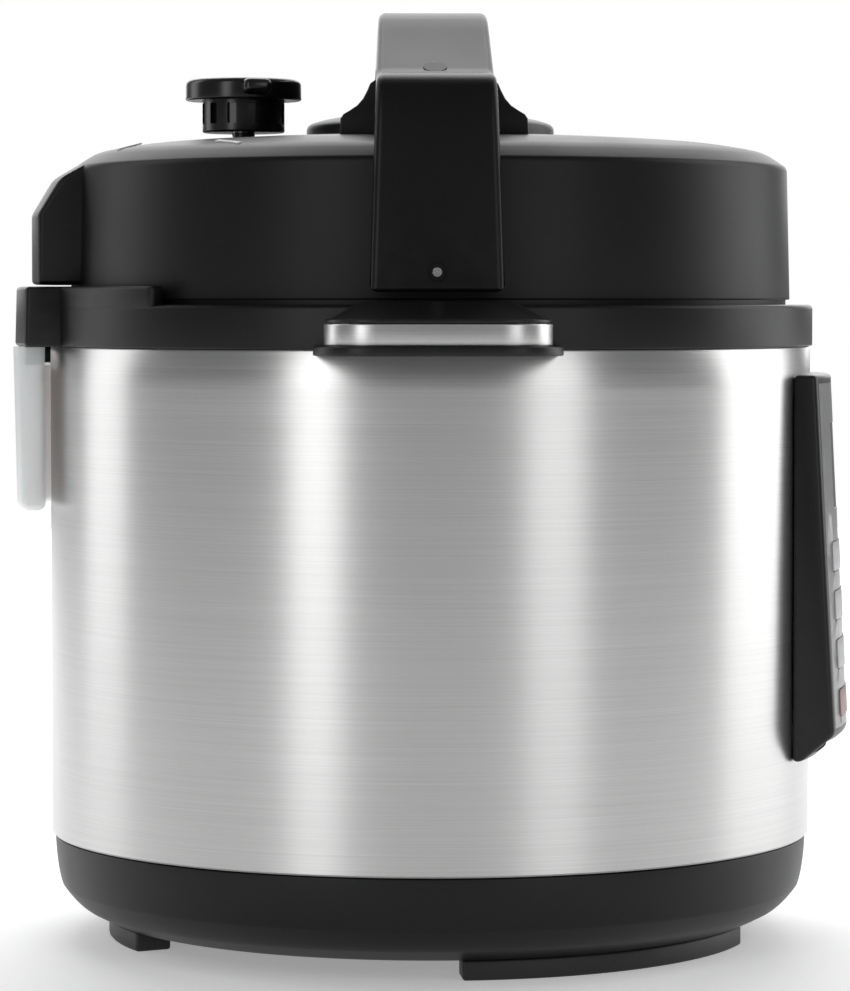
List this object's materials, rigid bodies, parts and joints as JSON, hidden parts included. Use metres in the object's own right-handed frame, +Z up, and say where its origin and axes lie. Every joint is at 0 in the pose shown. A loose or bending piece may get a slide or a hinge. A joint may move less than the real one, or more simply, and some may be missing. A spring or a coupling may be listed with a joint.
{
  "type": "electric pressure cooker",
  "caption": "Upright electric pressure cooker: steel drum with a black base, collar, bridge-handled locking lid, steam knob, front control panel and rear drip cup.",
  "frame": {"origin": "centre of the footprint, on the plane of the feet", "axes": "+Z up; the control panel faces -Y, the condensation cup +Y; the side handles point along +X and -X"},
  "size_m": [0.34, 0.2967, 0.3243],
  "materials": {
    "shell_steel": "vertical and round brushed, satin",
    "pot_steel": "brushed inside and out",
    "trim_steel": "satin",
    "bright_steel": "bright",
    "body_plastic": "fine grained black",
    "lid_plastic": "satin black",
    "handle_plastic": "satin black",
    "knob_plastic": "satin black",
    "foot_plastic": "matte",
    "cup_plastic": "clear, slightly frosted",
    "panel_film": "smooth dark grey film",
    "window_glass": "smooth dark window",
    "key_plastic": "light grey",
    "start_key": "green grey",
    "cancel_key": "dull red",
    "aluminium": "plain",
    "cast_alu": "machined on top",
    "spring_steel": "plain",
    "silicone": "translucent white",
    "red_silicone": "soft",
    "board": "green board",
    "component": "black and grey",
    "brass_pins": "plated",
    "fuse_sleeve": "glass-fibre sleeve",
    "screw_steel": "zinc plated"
  },
  "bodies": {
    "cooker": {"base_cover": "body_plastic", "foot_front_left": "foot_plastic", "foot_front_right": "foot_plastic", "foot_rear": "foot_plastic", "base_screws": "screw_steel", "power_inlet": "body_plastic", "inlet_pins": "brass_pins", "outer_shell": "shell_steel", "panel_housing": "body_plastic", "panel_face": "panel_film", "display_window": "window_glass", "panel_board": "board", "key_switches": "component", "collar": "body_plastic", "handle_cover_right": "handle_plastic", "handle_cover_left": "handle_plastic", "handle_trim_right": "trim_steel", "handle_trim_left": "trim_steel", "handle_screws": "screw_steel", "outer_pot": "aluminium", "lock_ring": "bright_steel", "heating_plate": "cast_alu", "heating_element": "spring_steel", "pressure_spring_plate": "spring_steel", "pressure_switch": "component", "thermal_fuse": "fuse_sleeve", "power_board": "board", "power_components": "component", "sensor_spring": "spring_steel", "sensor_bracket": "spring_steel"},
    "inner_pot": {"inner_pot": "pot_steel"},
    "seal": {"sealing_ring": "silicone"},
    "lid": {"lid_cover": "lid_plastic", "lid_handle": "handle_plastic", "lid_boss": "handle_plastic", "handle_pins": "bright_steel", "handle_plugs": "handle_plastic", "lid_plate": "pot_steel", "ring_rack": "bright_steel", "steam_pipe": "bright_steel", "anti_block_shield": "bright_steel", "lid_nut": "bright_steel", "lid_screws": "screw_steel"},
    "steam_release_knob": {"steam_release_knob": "knob_plastic"},
    "float_valve": {"float_valve": "bright_steel", "float_seal": "red_silicone"},
    "condensate_cup": {"condensate_cup": "cup_plastic"},
    "sensor_cap": {"sensor_cap": "bright_steel"},
    "key_low_left": {"key_low_left": "key_plastic"},
    "key_low_centre": {"key_low_centre": "key_plastic"},
    "key_low_right": {"key_low_right": "key_plastic"},
    "key_mid_left": {"key_mid_left": "key_plastic"},
    "key_mid_centre": {"key_mid_centre": "key_plastic"},
    "key_mid_right": {"key_mid_right": "key_plastic"},
    "key_high_left": {"key_high_left": "key_plastic"},
    "key_high_centre": {"key_high_centre": "key_plastic"},
    "key_high_right": {"key_high_right": "key_plastic"},
    "key_cancel": {"key_cancel": "cancel_key"},
    "key_start": {"key_start": "start_key"},
    "key_power": {"key_power": "key_plastic"}
  },
  "joints": [
    {"name": "pot_lift", "type": "slide", "parent": "cooker", "child": "inner_pot", "axis": [0, 0, 1], "range_m": [0, 0.2]},
    {"name": "lid_lift", "type": "slide", "parent": "inner_pot", "child": "seal", "axis": [0, 0, 1], "range_m": [0, 0.2]},
    {"name": "lid_turn", "type": "hinge", "parent": "seal", "child": "lid", "pos_m": [0, 0, 0.226], "axis": [0, 0, 1], "range_deg": [0, 30]},
    {"name": "steam_release_turn", "type": "hinge", "parent": "lid", "child": "steam_release_knob", "pos_m": [-0.016, 0.066, 0.286], "axis": [0, 0, 1], "range_deg": [0, 50]},
    {"name": "float_valve_rise", "type": "slide", "parent": "lid", "child": "float_valve", "axis": [0, 0, 1], "range_m": [0, 0.0045]},
    {"name": "cup_pull", "type": "slide", "parent": "cooker", "child": "condensate_cup", "axis": [0, 1, 0], "range_m": [0, 0.06]},
    {"name": "sensor_press", "type": "slide", "parent": "cooker", "child": "sensor_cap", "axis": [0, 0, 1], "range_m": [-0.0025, 0], "stiffness_N_per_m": 800, "springref_m": 0.0015, "deforming": ["sensor_spring"]},
    {"name": "key_low_left_press", "type": "slide", "parent": "cooker", "child": "key_low_left", "axis": [0.2103, 0.9763, -0.0507], "range_m": [0, 0.0004], "stiffness_N_per_m": 400},
    {"name": "key_low_centre_press", "type": "slide", "parent": "cooker", "child": "key_low_centre", "axis": [0, 0.9987, -0.0507], "range_m": [0, 0.0004], "stiffness_N_per_m": 400},
    {"name": "key_low_right_press", "type": "slide", "parent": "cooker", "child": "key_low_right", "axis": [-0.2103, 0.9763, -0.0507], "range_m": [0, 0.0004], "stiffness_N_per_m": 400},
    {"name": "key_mid_left_press", "type": "slide", "parent": "cooker", "child": "key_mid_left", "axis": [0.2115, 0.9761, -0.0507], "range_m": [0, 0.0004], "stiffness_N_per_m": 400},
    {"name": "key_mid_centre_press", "type": "slide", "parent": "cooker", "child": "key_mid_centre", "axis": [0, 0.9987, -0.0507], "range_m": [0, 0.0004], "stiffness_N_per_m": 400},
    {"name": "key_mid_right_press", "type": "slide", "parent": "cooker", "child": "key_mid_right", "axis": [-0.2115, 0.9761, -0.0507], "range_m": [0, 0.0004], "stiffness_N_per_m": 400},
    {"name": "key_high_left_press", "type": "slide", "parent": "cooker", "child": "key_high_left", "axis": [0.2128, 0.9758, -0.0507], "range_m": [0, 0.0004], "stiffness_N_per_m": 400},
    {"name": "key_high_centre_press", "type": "slide", "parent": "cooker", "child": "key_high_centre", "axis": [0, 0.9987, -0.0507], "range_m": [0, 0.0004], "stiffness_N_per_m": 400},
    {"name": "key_high_right_press", "type": "slide", "parent": "cooker", "child": "key_high_right", "axis": [-0.2128, 0.9758, -0.0507], "range_m": [0, 0.0004], "stiffness_N_per_m": 400},
    {"name": "key_cancel_press", "type": "slide", "parent": "cooker", "child": "key_cancel", "axis": [0.1585, 0.9861, -0.0507], "range_m": [0, 0.0004], "stiffness_N_per_m": 400},
    {"name": "key_start_press", "type": "slide", "parent": "cooker", "child": "key_start", "axis": [-0.1585, 0.9861, -0.0507], "range_m": [0, 0.0004], "stiffness_N_per_m": 400},
    {"name": "key_power_press", "type": "slide", "parent": "cooker", "child": "key_power", "axis": [0, 0.9987, -0.0507], "range_m": [0, 0.0004], "stiffness_N_per_m": 400}
  ]
}
